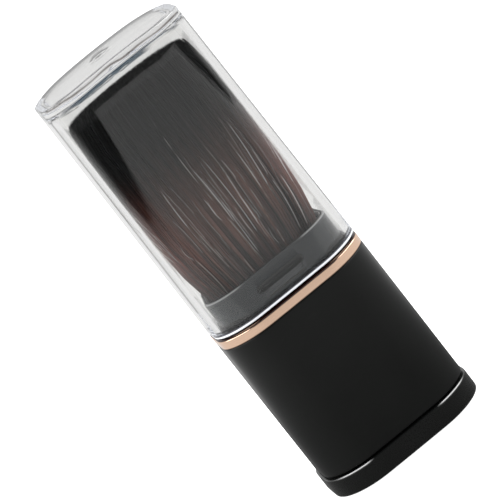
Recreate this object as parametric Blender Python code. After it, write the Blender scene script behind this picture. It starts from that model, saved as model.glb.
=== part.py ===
"""Retractable makeup brush with a rounded rectangular body and a clear cap.

The brush stands on its base cap with the Z axis up its middle and its broad face towards -Y.
Base cap, slider tube, tuft holder and tuft are one unit. The sleeve with its collar slides up
over the tuft, and the clear cap lifts off the collar. All lengths are in metres.
"""
import math

import bmesh
import bpy
from mathutils import Matrix

# Body outline: a rounded rectangle with bowed faces, which every moulding follows at some inset
BODY_WIDTH = 0.0380
BODY_DEPTH = 0.0310
CORNER_RADIUS = 0.0108
SMALLEST_RADIUS = 0.0004
FACE_CROWN = 0.0004
SIDE_CROWN = 0.0002
CORNER_STEPS = 8
FACE_STEPS = 4

# Clearances
SEAT_GAP = 0.0003
SLIDE_CLEARANCE = 0.0003
CAP_CLEARANCE = 0.00065
OVERRUN = 0.0005

# Base cap
BASE_HEIGHT = 0.0049
BASE_OVERHANG = 0.00045
BASE_FLOOR = 0.0018
BASE_FOOT_FILLET = 0.0008
BASE_LIP_CHAMFER = 0.0003
BOSS_HEIGHT = 0.0030
BOSS_WALL = 0.0014
FILLET_STEPS = 4

# Sleeve shell
SLEEVE_GROOVE = 0.0004
SLEEVE_HEIGHT = 0.0363
SLEEVE_WALL = 0.0018
SLEEVE_CHAMFER = 0.0003

# Trim ring
RING_PROUD = 0.00005
RING_BAND_HEIGHT = 0.00155
RING_SLOPE_HEIGHT = 0.0007
RING_SLOPE_DEPTH = 0.0005
RING_EDGE = 0.00025

# Clear cap
CAP_WALL = 0.0020
CAP_HEADROOM = 0.0040
CAP_DRAFT = 0.0006
CAP_CEILING = 0.0018
CAP_DOME = 0.00085
CAP_TOP_FILLET = 0.0011
CAP_INNER_FILLET = 0.0015
CAP_MOUTH_CHAMFER = 0.0006
CAP_TOP_INSETS = (0.0040, 0.0080, 0.0120)

# Neck collar
COLLAR_HEIGHT = 0.0106
COLLAR_WALL = 0.0013
COLLAR_RIM_CHAMFER = 0.0004
COLLAR_SKIRT_LENGTH = 0.0080

# Snap recess in the collar, a slot over a slope, and the ridge in the cap that drops into it
RECESS_BELOW_RIM = 0.0029
SLOT_WIDTH = 0.0118
SLOT_HEIGHT = 0.0014
SLOT_DEPTH = 0.0010
SLOPE_WIDTH = 0.0106
SLOPE_FOOT_WIDTH = 0.0098
SLOPE_HEIGHT = 0.0024
SLOPE_DEPTH = 0.00065
SLOPE_FOOT_DEPTH = 0.0002
RIDGE_WIDTH = 0.0090
RIDGE_RADIUS = 0.0006
RIDGE_CLEARANCE = 0.0002

# Slider tube with its stop lugs and spring fingers
SLIDER_WALL = 0.0014
SLIDER_BELOW_SHOULDER = 0.0006
LUG_BELOW_SHOULDER = 0.0015
LUG_HEIGHT = 0.0020
LUG_WIDTH = 0.0080
LUG_CLEARANCE = 0.0004
FINGER_WIDTH = 0.0060
FINGER_LENGTH = 0.0068
FINGER_SLOT = 0.0007
BUMP_FROM_TIP = 0.0009
BUMP_WIDTH = 0.0046
BUMP_RADIUS = 0.0005
BUMP_PROUD = 0.0002
ROUND_BAR_SIDES = 16

# Guide bush in the sleeve's lower end
BUSH_RISE = 0.0002
BUSH_HEIGHT = 0.0073
BUSH_GROOVE_HEIGHT = 0.0014
BUSH_GROOVE_DEPTH = 0.0004
BUSH_CHAMFER = 0.0003

# Tuft holder
HOLDER_WALL = 0.0008
HOLDER_FLOOR = 0.0012
HOLDER_CUP_DEPTH = 0.0042
TENON_LENGTH = 0.0056
TENON_WALL = 0.0012

# Tuft
ROOT_BELOW_CUP_RIM = 0.0002
TUFT_HEIGHT = 0.0542
TUFT_CROWN = 0.0010
TUFT_EDGE_MARGIN = 0.0008
TUFT_CORNER_RADIUS = 0.0086
TUFT_CAP_GAP = 0.00035
TUFT_MOUTH_GAP = 0.0004
STRAND_SPACING = 0.00120
STRAND_RADIUS = 0.00050
STRAND_SIDES = 3
STRAND_SINK = 0.0004
# The middle slice of the root ends at this share of the root's half width
ROOT_SPLIT_SHARE = 0.55
# For each level of a strand: share of the tuft's height, of its greatest spread beyond the
# root, and of the strand's full radius
STRAND_LEVEL_SHARES = ((0.0, 0.0, 0.9), (0.24, 0.72, 1.0), (0.66, 1.0, 1.0), (1.0, 0.70, 0.42))

# Places worked out from the sizes above
SLEEVE_BOTTOM = BASE_HEIGHT + SLEEVE_GROOVE
SLEEVE_TOP = SLEEVE_BOTTOM + SLEEVE_HEIGHT
RING_BOTTOM = SLEEVE_TOP + SEAT_GAP
RING_BAND_TOP = RING_BOTTOM + RING_BAND_HEIGHT
RING_TOP = RING_BAND_TOP + RING_SLOPE_HEIGHT
CAP_BOTTOM = RING_TOP + SEAT_GAP
COLLAR_INSET = CAP_WALL + CAP_CLEARANCE
MOUTH_INSET = COLLAR_INSET + COLLAR_WALL
SKIRT_INSET = SLEEVE_WALL + SEAT_GAP
SHOULDER_TOP = RING_BOTTOM - SEAT_GAP
COLLAR_TOP = SHOULDER_TOP + COLLAR_HEIGHT
SLOT_MIDDLE = COLLAR_TOP - RECESS_BELOW_RIM - SLOT_HEIGHT / 2
SLIDER_INSET = MOUTH_INSET + SLIDE_CLEARANCE
SLIDER_BOTTOM = BASE_HEIGHT + SEAT_GAP
SLIDER_TOP = SHOULDER_TOP - SLIDER_BELOW_SHOULDER
SLIDER_BORE_INSET = SLIDER_INSET + SLIDER_WALL
BUSH_BOTTOM = SLEEVE_BOTTOM + BUSH_RISE
BUSH_TOP = BUSH_BOTTOM + BUSH_HEIGHT
DETENT_HEIGHT = BUSH_BOTTOM + BUSH_HEIGHT / 2
LUG_TOP = SHOULDER_TOP - LUG_BELOW_SHOULDER
LUG_BOTTOM = LUG_TOP - LUG_HEIGHT
SLIDE_TRAVEL = LUG_BOTTOM - SLIDE_CLEARANCE - BUSH_TOP
HOLDER_BOTTOM = SLIDER_TOP + SEAT_GAP
HOLDER_FLOOR_TOP = HOLDER_BOTTOM + HOLDER_FLOOR
HOLDER_RIM = HOLDER_FLOOR_TOP + HOLDER_CUP_DEPTH
TENON_INSET = SLIDER_BORE_INSET + SEAT_GAP
ROOT_INSET = SLIDER_INSET + HOLDER_WALL + SEAT_GAP
ROOT_BOTTOM = HOLDER_FLOOR_TOP + SEAT_GAP
ROOT_TOP = HOLDER_RIM - ROOT_BELOW_CUP_RIM
TUFT_TOP = ROOT_TOP + TUFT_HEIGHT
CAP_TOP = TUFT_TOP + CAP_HEADROOM + CAP_CEILING
CAP_HEIGHT = CAP_TOP - CAP_BOTTOM


def clear_scene():
    """Remove every object that the scene starts with."""
    for item in list(bpy.data.objects):
        bpy.data.objects.remove(item, do_unlink=True)


def new_collection(name):
    """Make a collection under the scene's own."""
    group = bpy.data.collections.new(name)
    bpy.context.scene.collection.children.link(group)
    return group


def new_material(name, color, roughness, metallic=0.0, alpha=1.0):
    """Principled material with one colour (linear RGB)."""
    material = bpy.data.materials.new(name)
    material.use_nodes = True
    shader = material.node_tree.nodes["Principled BSDF"]
    shader.inputs["Base Color"].default_value = (*color, 1.0)
    shader.inputs["Roughness"].default_value = roughness
    shader.inputs["Metallic"].default_value = metallic
    shader.inputs["Alpha"].default_value = alpha
    material.diffuse_color = (*color, alpha)
    return material


def outline(inset):
    """Points of the body outline moved inward by an inset, counter-clockwise from +X.

    The outline is a rounded rectangle. Each coordinate then grows by the crown of its face
    times one minus the square of the other coordinate's share of the half size.
    """
    half_width = BODY_WIDTH / 2 - SIDE_CROWN - inset
    half_depth = BODY_DEPTH / 2 - FACE_CROWN - inset
    radius = max(CORNER_RADIUS - inset, SMALLEST_RADIUS)
    corners = []
    for quarter, (side_x, side_y) in enumerate(((1, 1), (-1, 1), (-1, -1), (1, -1))):
        corner = []
        for step in range(CORNER_STEPS + 1):
            angle = (quarter + step / CORNER_STEPS) * math.pi / 2
            x = side_x * (half_width - radius) + radius * math.cos(angle)
            y = side_y * (half_depth - radius) + radius * math.sin(angle)
            corner.append((x, y))
        corners.append(corner)
    points = []
    for quarter, corner in enumerate(corners):
        points += corner
        start = corner[-1]
        end = corners[(quarter + 1) % 4][0]
        for step in range(1, FACE_STEPS):
            share = step / FACE_STEPS
            x = start[0] + (end[0] - start[0]) * share
            y = start[1] + (end[1] - start[1]) * share
            points.append((x, y))
    bowed = []
    for x, y in points:
        side_bow = SIDE_CROWN * (x / half_width) * (1 - (y / half_depth) ** 2)
        face_bow = FACE_CROWN * (y / half_depth) * (1 - (x / half_width) ** 2)
        bowed.append((x + side_bow, y + face_bow))
    return bowed


def face_distance(inset):
    """Distance from the middle to the front or back face at an inset."""
    return BODY_DEPTH / 2 - inset


def side_distance(inset):
    """Distance from the middle to the left or right side at an inset."""
    return BODY_WIDTH / 2 - inset


def finish_object(name, bm, material, group):
    """Turn a bmesh into a smooth shaded object of a collection."""
    mesh = bpy.data.meshes.new(name)
    bm.to_mesh(mesh)
    bm.free()
    mesh.shade_smooth()
    mesh.set_sharp_from_angle(angle=math.radians(35))
    item = bpy.data.objects.new(name, mesh)
    if material is not None:
        mesh.materials.append(material)
    group.objects.link(item)
    return item


def swept(name, profile, material, group, closed, lift=None):
    """Carry a profile of (inset, height) points round the body outline.

    The profile runs up the outer side. A closed one makes a tube, and an open one is capped
    at both ends. The optional lift gives the height to add at a point (x, y, z).
    """
    bm = bmesh.new()
    loops = []
    for inset, height in profile:
        loop = []
        for x, y in outline(inset):
            extra = lift(x, y, height) if lift else 0.0
            loop.append(bm.verts.new((x, y, height + extra)))
        loops.append(loop)
    pairs = list(zip(loops, loops[1:]))
    if closed:
        pairs.append((loops[-1], loops[0]))
    else:
        bm.faces.new(reversed(loops[0]))
        bm.faces.new(loops[-1])
    for lower, upper in pairs:
        for index, vertex in enumerate(lower):
            after = (index + 1) % len(lower)
            bm.faces.new((vertex, lower[after], upper[after], upper[index]))
    return finish_object(name, bm, material, group)


def fillet(inset, height, radius, start, end):
    """Profile points of a quarter round about (inset, height), by angles in degrees.

    The angle is measured from straight outward, and turns upward.
    """
    points = []
    for step in range(FILLET_STEPS + 1):
        angle = math.radians(start + (end - start) * step / FILLET_STEPS)
        points.append((inset - radius * math.cos(angle), height + radius * math.sin(angle)))
    return points


def as_guide(item):
    """Mark an object as a cutter or guide that isn't part of the brush."""
    item.hide_render = True
    item.display_type = 'WIRE'
    return item


def block(name, low, high, group):
    """Box between two corners, made as a guide."""
    bm = bmesh.new()
    bmesh.ops.create_cube(bm, size=1.0)
    size = [high[axis] - low[axis] for axis in range(3)]
    middle = [(high[axis] + low[axis]) / 2 for axis in range(3)]
    bmesh.ops.scale(bm, vec=size, verts=bm.verts)
    bmesh.ops.translate(bm, vec=middle, verts=bm.verts)
    return as_guide(finish_object(name, bm, None, group))


def round_bar(name, length, radius, y, z, group):
    """Bar along X with its axis at (y, z), made as a guide."""
    bm = bmesh.new()
    turn = Matrix.Translation((0, y, z)) @ Matrix.Rotation(math.pi / 2, 4, 'Y')
    bmesh.ops.create_cone(bm, cap_ends=True, segments=ROUND_BAR_SIDES, radius1=radius,
                          radius2=radius, depth=length, matrix=turn)
    return as_guide(finish_object(name, bm, None, group))


def combine(item, guide, operation):
    """Add a Boolean modifier that cuts, joins or keeps what the guide covers."""
    modifier = item.modifiers.new(guide.name, 'BOOLEAN')
    modifier.operation = operation
    modifier.solver = 'EXACT'
    modifier.object = guide


def make_base_cap(material, parts):
    """Foot with a hollow boss that plugs into the slider tube."""
    foot = -BASE_OVERHANG + BASE_FOOT_FILLET
    profile = fillet(foot, BASE_FOOT_FILLET, BASE_FOOT_FILLET, -90, 0)
    profile += [
        (-BASE_OVERHANG, BASE_HEIGHT - BASE_LIP_CHAMFER),
        (-BASE_OVERHANG + BASE_LIP_CHAMFER, BASE_HEIGHT),
        (TENON_INSET, BASE_HEIGHT),
        (TENON_INSET, BASE_HEIGHT + BOSS_HEIGHT),
        (TENON_INSET + BOSS_WALL, BASE_HEIGHT + BOSS_HEIGHT),
        (TENON_INSET + BOSS_WALL, BASE_FLOOR),
    ]
    return swept("base_cap", profile, material, parts, closed=False)


def cut_finger(tube, label, side, bump_height, tip_side, guides):
    """Free a spring finger in the tube's front or back wall and give it a detent bump.

    side is -1 in front and 1 behind. tip_side is -1 where the finger's free tip points down
    and 1 where it points up. Three slots leave the finger joined at its other end.
    """
    outer = face_distance(SLIDER_INSET)
    inner = face_distance(SLIDER_BORE_INSET)
    near = side * (inner - OVERRUN)
    far = side * (outer + OVERRUN)
    tip = bump_height + tip_side * BUMP_FROM_TIP
    slot_end = tip + tip_side * FINGER_SLOT
    hinge = tip - tip_side * FINGER_LENGTH
    half = FINGER_WIDTH / 2
    spans = (
        ("left", -half - FINGER_SLOT, -half, hinge, slot_end),
        ("right", half, half + FINGER_SLOT, hinge, slot_end),
        ("tip", -half - FINGER_SLOT / 2, half + FINGER_SLOT / 2, tip, slot_end),
    )
    for place, low_x, high_x, start, end in spans:
        low = (low_x, min(near, far), min(start, end))
        high = (high_x, max(near, far), max(start, end))
        slot = block(f"{label}_{place}_slot", low, high, guides)
        combine(tube, slot, 'DIFFERENCE')
    axis_y = side * (outer + BUMP_PROUD - BUMP_RADIUS)
    bump = round_bar(f"{label}_bump", BUMP_WIDTH, BUMP_RADIUS, axis_y, bump_height, guides)
    combine(tube, bump, 'UNION')


def make_slider_tube(material, parts, guides):
    """Inner tube on which the sleeve slides, with two stop lugs and four spring fingers."""
    profile = [
        (SLIDER_INSET, SLIDER_BOTTOM),
        (SLIDER_INSET, SLIDER_TOP),
        (SLIDER_BORE_INSET, SLIDER_TOP),
        (SLIDER_BORE_INSET, SLIDER_BOTTOM),
    ]
    tube = swept("slider_tube", profile, material, parts, closed=True)
    lug_reach = side_distance(SLEEVE_WALL + LUG_CLEARANCE)
    lug_root = side_distance(SLIDER_INSET + SLIDER_WALL / 2)
    for side, label in ((-1, "left"), (1, "right")):
        ends = sorted((side * lug_root, side * lug_reach))
        low = (ends[0], -LUG_WIDTH / 2, LUG_BOTTOM)
        high = (ends[1], LUG_WIDTH / 2, LUG_TOP)
        combine(tube, block(f"{label}_stop_lug", low, high, guides), 'UNION')
    for side, label in ((-1, "front"), (1, "back")):
        cut_finger(tube, f"{label}_lower_finger", side, DETENT_HEIGHT, -1, guides)
        raised = DETENT_HEIGHT + SLIDE_TRAVEL
        cut_finger(tube, f"{label}_upper_finger", side, raised, 1, guides)
    return tube


def make_tuft_holder(material, parts):
    """Cup for the tuft's root, over a hollow tenon that plugs into the slider tube."""
    tenon_bore = TENON_INSET + TENON_WALL
    tenon_bottom = HOLDER_BOTTOM - TENON_LENGTH
    cup_bore = SLIDER_INSET + HOLDER_WALL
    profile = [
        (tenon_bore, HOLDER_BOTTOM),
        (tenon_bore, tenon_bottom),
        (TENON_INSET, tenon_bottom),
        (TENON_INSET, HOLDER_BOTTOM),
        (SLIDER_INSET, HOLDER_BOTTOM),
        (SLIDER_INSET, HOLDER_RIM),
        (cup_bore, HOLDER_RIM),
        (cup_bore, HOLDER_FLOOR_TOP),
    ]
    return swept("tuft_holder", profile, material, parts, closed=False)


def strand_roots():
    """Centres of the strands on a triangular grid inside the tuft's rounded outline.

    A point is inside when it lies within the corner radius of the rectangle that the corner
    centres span.
    """
    half_width = side_distance(ROOT_INSET) - TUFT_EDGE_MARGIN
    half_depth = face_distance(ROOT_INSET) - TUFT_EDGE_MARGIN
    flat_x = half_width - TUFT_CORNER_RADIUS
    flat_y = half_depth - TUFT_CORNER_RADIUS
    row_step = STRAND_SPACING * math.sqrt(3) / 2
    rows = int(half_depth / row_step) + 1
    columns = int(half_width / STRAND_SPACING) + 2
    roots = []
    for row in range(-rows, rows + 1):
        shift = STRAND_SPACING / 2 if row % 2 else 0.0
        for column in range(-columns, columns + 1):
            x = column * STRAND_SPACING + shift
            y = row * row_step
            beyond_x = max(abs(x) - flat_x, 0.0)
            beyond_y = max(abs(y) - flat_y, 0.0)
            if math.hypot(beyond_x, beyond_y) < TUFT_CORNER_RADIUS:
                roots.append((x, y))
    return roots


def tuft_spread():
    """Shares by which the tuft at its fullest is wider and deeper than its root.

    The outermost strands then keep a gap to the cap's inner face along X, and to the collar's
    mouth along Y.
    """
    cap_face = side_distance(cap_inset(TUFT_TOP) + CAP_WALL)
    fullest_x = cap_face - TUFT_CAP_GAP - STRAND_RADIUS
    fullest_y = face_distance(MOUTH_INSET) - TUFT_MOUTH_GAP - STRAND_RADIUS
    root_x = side_distance(ROOT_INSET) - TUFT_EDGE_MARGIN
    root_y = face_distance(ROOT_INSET) - TUFT_EDGE_MARGIN
    return fullest_x / root_x - 1, fullest_y / root_y - 1


def add_strand(bm, root_x, root_y, number):
    """One tapered strand that follows the tuft's flare, sunk a little into the root block.

    The tuft spreads by stretching x and y about the middle as it rises, so strands keep their
    order and never cross. The tips lie on a dome: highest in the middle, lower by the crown
    at the edge.
    """
    half_width = side_distance(ROOT_INSET)
    half_depth = face_distance(ROOT_INSET)
    widen, deepen = tuft_spread()
    from_middle = min(1.0, (root_x / half_width) ** 2 + (root_y / half_depth) ** 2)
    height = TUFT_HEIGHT - TUFT_CROWN * from_middle
    turn = number * math.pi * (3 - math.sqrt(5))
    loops = []
    for level, (height_share, spread_share, radius_share) in enumerate(STRAND_LEVEL_SHARES):
        x = root_x * (1 + widen * spread_share)
        y = root_y * (1 + deepen * spread_share)
        z = ROOT_TOP + height * height_share
        if level == 0:
            z -= STRAND_SINK
        loop = []
        for corner in range(STRAND_SIDES):
            angle = turn + corner * 2 * math.pi / STRAND_SIDES
            radius = STRAND_RADIUS * radius_share
            place = (x + radius * math.cos(angle), y + radius * math.sin(angle), z)
            loop.append(bm.verts.new(place))
        loops.append(loop)
    bm.faces.new(reversed(loops[0]))
    bm.faces.new(loops[-1])
    for lower, upper in zip(loops, loops[1:]):
        for index, vertex in enumerate(lower):
            after = (index + 1) % STRAND_SIDES
            bm.faces.new((vertex, lower[after], upper[after], upper[index]))


def make_tuft(name, low_x, high_x, roots, material, parts, guides):
    """Slice of the resin root between two places along X, joined with the strands on it."""
    profile = [(ROOT_INSET, ROOT_BOTTOM), (ROOT_INSET, ROOT_TOP)]
    root = swept(name, profile, material, parts, closed=False)
    reach = BODY_DEPTH
    low = (low_x, -reach, ROOT_BOTTOM - OVERRUN)
    high = (high_x, reach, ROOT_TOP + OVERRUN)
    combine(root, block(f"{name}_slice", low, high, guides), 'INTERSECT')
    bm = bmesh.new()
    for number, (x, y) in enumerate(roots):
        if low_x + STRAND_RADIUS < x < high_x - STRAND_RADIUS:
            add_strand(bm, x, y, number)
    strands = as_guide(finish_object(f"{name}_strands", bm, None, guides))
    combine(root, strands, 'UNION')
    return root


def make_sleeve_shell(material, parts):
    """Outer shell that the hand holds and slides."""
    profile = [
        (SLEEVE_CHAMFER, SLEEVE_BOTTOM),
        (0.0, SLEEVE_BOTTOM + SLEEVE_CHAMFER),
        (0.0, SLEEVE_TOP - SLEEVE_CHAMFER),
        (SLEEVE_CHAMFER, SLEEVE_TOP),
        (SLEEVE_WALL, SLEEVE_TOP),
        (SLEEVE_WALL, SLEEVE_BOTTOM),
    ]
    return swept("sleeve_shell", profile, material, parts, closed=True)


def make_trim_ring(material, parts):
    """Plated band on the sleeve's rim, with a slope above it under the cap's mouth."""
    bore = COLLAR_INSET - SEAT_GAP
    profile = [
        (RING_EDGE - RING_PROUD, RING_BOTTOM),
        (-RING_PROUD, RING_BOTTOM + RING_EDGE),
        (-RING_PROUD, RING_BAND_TOP),
        (RING_SLOPE_DEPTH, RING_TOP),
        (bore, RING_TOP),
        (bore, RING_BOTTOM),
    ]
    return swept("trim_ring", profile, material, parts, closed=True)


def round_slot(name, low_y, high_y, group):
    """Cutter along Y with the snap slot's long round-ended section, made as a guide."""
    radius = SLOT_HEIGHT / 2
    reach = SLOT_WIDTH / 2 - radius
    bm = bmesh.new()
    loops = []
    for y in (low_y, high_y):
        loop = []
        for step in range(ROUND_BAR_SIDES):
            angle = math.pi * (2 * step + 1) / ROUND_BAR_SIDES
            x = math.copysign(reach, math.cos(angle)) + radius * math.cos(angle)
            loop.append(bm.verts.new((x, y, SLOT_MIDDLE + radius * math.sin(angle))))
        loops.append(loop)
    near, far = loops
    bm.faces.new(near)
    bm.faces.new(reversed(far))
    for index, vertex in enumerate(near):
        after = (index + 1) % ROUND_BAR_SIDES
        bm.faces.new((vertex, far[index], far[after], near[after]))
    return as_guide(finish_object(name, bm, None, group))


def cut_recess(collar, label, side, guides):
    """Snap recess: a round-ended slot, and a slope that runs out from it to a low step."""
    face = face_distance(COLLAR_INSET)
    slot = round_slot(f"{label}_snap_slot", face - SLOT_DEPTH, face + OVERRUN, guides)
    low = (-SLOPE_WIDTH / 2, face - SLOPE_DEPTH, SLOT_MIDDLE - SLOPE_HEIGHT)
    high = (SLOPE_WIDTH / 2, face + OVERRUN, SLOT_MIDDLE)
    slope = block(f"{label}_snap_slope", low, high, guides)
    for vertex in slope.data.vertices:
        if vertex.co.z < SLOT_MIDDLE - SLOPE_HEIGHT / 2:
            vertex.co.x *= SLOPE_FOOT_WIDTH / SLOPE_WIDTH
            if vertex.co.y < face:
                vertex.co.y = face - SLOPE_FOOT_DEPTH
    for cutter in (slot, slope):
        if side < 0:
            cutter.rotation_euler.z = math.pi
        combine(collar, cutter, 'DIFFERENCE')


def make_neck_collar(material, parts, guides):
    """Collar that the cap fits over, with a skirt in the sleeve and a keyway for each lug."""
    skirt_bottom = SHOULDER_TOP - COLLAR_SKIRT_LENGTH
    profile = [
        (SKIRT_INSET, skirt_bottom),
        (SKIRT_INSET, SHOULDER_TOP),
        (COLLAR_INSET, SHOULDER_TOP),
        (COLLAR_INSET, COLLAR_TOP - COLLAR_RIM_CHAMFER),
        (COLLAR_INSET + COLLAR_RIM_CHAMFER, COLLAR_TOP),
        (MOUTH_INSET - COLLAR_RIM_CHAMFER, COLLAR_TOP),
        (MOUTH_INSET, COLLAR_TOP - COLLAR_RIM_CHAMFER),
        (MOUTH_INSET, skirt_bottom),
    ]
    collar = swept("neck_collar", profile, material, parts, closed=True)
    half = LUG_WIDTH / 2 + LUG_CLEARANCE
    near = side_distance(MOUTH_INSET) - OVERRUN
    far = side_distance(SKIRT_INSET) + OVERRUN
    for side, label in ((-1, "left"), (1, "right")):
        ends = sorted((side * near, side * far))
        low = (ends[0], -half, skirt_bottom - OVERRUN)
        high = (ends[1], half, LUG_TOP + SEAT_GAP)
        combine(collar, block(f"{label}_keyway", low, high, guides), 'DIFFERENCE')
    for side, label in ((-1, "front"), (1, "back")):
        cut_recess(collar, label, side, guides)
    return collar


def make_guide_bush(material, parts):
    """Bush that runs on the slider tube, with a groove that takes the detent bumps."""
    outer = SKIRT_INSET
    groove = MOUTH_INSET - BUSH_GROOVE_DEPTH
    groove_top = DETENT_HEIGHT + BUSH_GROOVE_HEIGHT / 2
    groove_bottom = DETENT_HEIGHT - BUSH_GROOVE_HEIGHT / 2
    profile = [
        (outer, BUSH_BOTTOM),
        (outer, BUSH_TOP),
        (MOUTH_INSET, BUSH_TOP),
        (MOUTH_INSET, groove_top + BUSH_GROOVE_DEPTH),
        (groove, groove_top),
        (groove, groove_bottom),
        (MOUTH_INSET, groove_bottom - BUSH_GROOVE_DEPTH),
        (MOUTH_INSET, BUSH_BOTTOM + BUSH_CHAMFER),
        (MOUTH_INSET - BUSH_CHAMFER, BUSH_BOTTOM),
    ]
    return swept("guide_bush", profile, material, parts, closed=True)


def cap_inset(height):
    """Inset of the cap's outer face, which draws in with the draft from mouth to top."""
    return CAP_DRAFT * (height - CAP_BOTTOM) / CAP_HEIGHT


def cap_lift(x, y, z):
    """Doming of the cap: grows with height, and falls off with the square of x."""
    height_share = (z - CAP_BOTTOM) / CAP_HEIGHT
    return CAP_DOME * height_share * (1 - (2 * x / BODY_WIDTH) ** 2)


def make_clear_cap(material, parts, guides):
    """Thick clear cap with draft, a domed top and a snap ridge inside each broad face."""
    ceiling = CAP_TOP - CAP_CEILING
    inner_edge = cap_inset(ceiling) + CAP_WALL + CAP_INNER_FILLET
    outer_edge = cap_inset(CAP_TOP) + CAP_TOP_FILLET
    inner_rounds = fillet(inner_edge, ceiling - CAP_INNER_FILLET, CAP_INNER_FILLET, 90, 0)
    outer_rounds = fillet(outer_edge, CAP_TOP - CAP_TOP_FILLET, CAP_TOP_FILLET, 0, 90)
    middle = (CAP_BOTTOM + CAP_TOP) / 2
    profile = [(inset, ceiling) for inset in reversed(CAP_TOP_INSETS) if inset > inner_edge]
    profile += inner_rounds
    profile += [
        (cap_inset(middle) + CAP_WALL, middle),
        (CAP_WALL, CAP_BOTTOM + CAP_MOUTH_CHAMFER),
        (CAP_WALL - CAP_MOUTH_CHAMFER, CAP_BOTTOM),
        (CAP_MOUTH_CHAMFER, CAP_BOTTOM),
        (0.0, CAP_BOTTOM + CAP_MOUTH_CHAMFER),
        (cap_inset(middle), middle),
    ]
    profile += outer_rounds
    profile += [(inset, CAP_TOP) for inset in CAP_TOP_INSETS if inset > outer_edge]
    cap = swept("clear_cap", profile, material, parts, closed=False, lift=cap_lift)
    proud = CAP_CLEARANCE - RIDGE_CLEARANCE
    for side, label in ((-1, "front"), (1, "back")):
        inner = face_distance(cap_inset(SLOT_MIDDLE) + CAP_WALL)
        axis_y = side * (inner - proud + RIDGE_RADIUS)
        ridge = round_bar(f"{label}_snap_ridge", RIDGE_WIDTH, RIDGE_RADIUS, axis_y,
                          SLOT_MIDDLE, guides)
        combine(cap, ridge, 'UNION')
    return cap


def carry(name, height, items, parts):
    """Put an empty on the slide axis at a height and hang the moving pieces on it."""
    empty = bpy.data.objects.new(name, None)
    empty.location.z = height
    empty.empty_display_size = CORNER_RADIUS
    parts.objects.link(empty)
    for item in items:
        item.parent = empty
        item.matrix_parent_inverse = Matrix.Translation((0, 0, -height))
    return empty


def main():
    """Build the whole brush."""
    clear_scene()
    parts = new_collection("retractable_makeup_brush")
    guides = new_collection("cutters_and_guides")
    soft_black = new_material("soft_touch_black", (0.014, 0.015, 0.014), 0.55)
    base_black = new_material("moulded_black", (0.013, 0.014, 0.013), 0.45)
    rose_gold = new_material("rose_gold_plate", (0.74, 0.45, 0.30), 0.18, metallic=1.0)
    collar_grey = new_material("collar_dark_grey", (0.030, 0.032, 0.034), 0.40)
    clear = new_material("clear_acrylic", (0.90, 0.92, 0.93), 0.03, alpha=0.25)
    slider_black = new_material("slider_black", (0.020, 0.020, 0.021), 0.50)
    bush_grey = new_material("bush_grey", (0.12, 0.12, 0.12), 0.50)
    holder_black = new_material("holder_black", (0.018, 0.018, 0.018), 0.50)
    hair = new_material("synthetic_hair", (0.030, 0.020, 0.017), 0.50)

    make_base_cap(base_black, parts)
    make_slider_tube(slider_black, parts, guides)
    make_tuft_holder(holder_black, parts)
    roots = strand_roots()
    split = side_distance(ROOT_INSET) * ROOT_SPLIT_SHARE
    side_edge = split + SEAT_GAP
    reach = BODY_WIDTH
    make_tuft("tuft_left", -reach, -side_edge, roots, hair, parts, guides)
    make_tuft("tuft_center", -split, split, roots, hair, parts, guides)
    make_tuft("tuft_right", side_edge, reach, roots, hair, parts, guides)

    shell = make_sleeve_shell(soft_black, parts)
    ring = make_trim_ring(rose_gold, parts)
    collar = make_neck_collar(collar_grey, parts, guides)
    bush = make_guide_bush(bush_grey, parts)
    sleeve_axis = carry("sleeve_slide_axis", SLEEVE_BOTTOM, (shell, ring, collar, bush), parts)

    cap = make_clear_cap(clear, parts, guides)
    cap_axis = carry("cap_lift_axis", CAP_BOTTOM, (cap,), parts)
    cap_axis.parent = sleeve_axis
    cap_axis.matrix_parent_inverse = Matrix.Translation((0, 0, -SLEEVE_BOTTOM))


main()
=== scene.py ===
import math

import bpy
import numpy as np
from bpy.props import FloatProperty, FloatVectorProperty, IntProperty, PointerProperty
from bpy.types import Operator, Panel, PropertyGroup
from mathutils import Matrix, Vector


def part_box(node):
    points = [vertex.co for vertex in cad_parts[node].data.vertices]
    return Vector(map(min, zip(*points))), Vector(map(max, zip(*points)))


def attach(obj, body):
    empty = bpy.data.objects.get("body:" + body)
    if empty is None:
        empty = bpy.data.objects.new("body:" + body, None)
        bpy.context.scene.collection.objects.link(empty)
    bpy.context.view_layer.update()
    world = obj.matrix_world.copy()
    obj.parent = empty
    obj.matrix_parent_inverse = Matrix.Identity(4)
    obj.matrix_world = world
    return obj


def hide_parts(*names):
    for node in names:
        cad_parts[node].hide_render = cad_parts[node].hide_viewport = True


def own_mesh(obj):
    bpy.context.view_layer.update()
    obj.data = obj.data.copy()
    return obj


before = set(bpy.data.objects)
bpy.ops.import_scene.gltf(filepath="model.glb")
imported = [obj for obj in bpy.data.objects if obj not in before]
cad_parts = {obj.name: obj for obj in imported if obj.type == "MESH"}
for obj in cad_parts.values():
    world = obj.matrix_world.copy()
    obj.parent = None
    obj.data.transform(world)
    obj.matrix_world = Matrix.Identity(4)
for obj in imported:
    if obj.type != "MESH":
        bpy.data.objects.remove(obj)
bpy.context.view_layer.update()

bl_info = {
    "name": "Retractable makeup brush",
    "version": (1, 0, 0),
    "blender": (4, 5, 0),
    "location": "3D View > Sidebar > Brush",
    "description": "Builds a retractable makeup brush with a clear cap on its packed frame",
    "category": "Add Mesh",
}

SLEEVE_LOW, SLEEVE_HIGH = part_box("sleeve_shell")
BASE_HIGH, RING_HIGH, HOLDER_HIGH = (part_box(node)[1] for node in (
    "base_cap", "trim_ring", "tuft_holder"))
COLLAR_LOW, COLLAR_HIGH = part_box("neck_collar")
CAP_LOW, CAP_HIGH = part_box("clear_cap")
SLIDER_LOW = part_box("slider_tube")[0]

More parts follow.
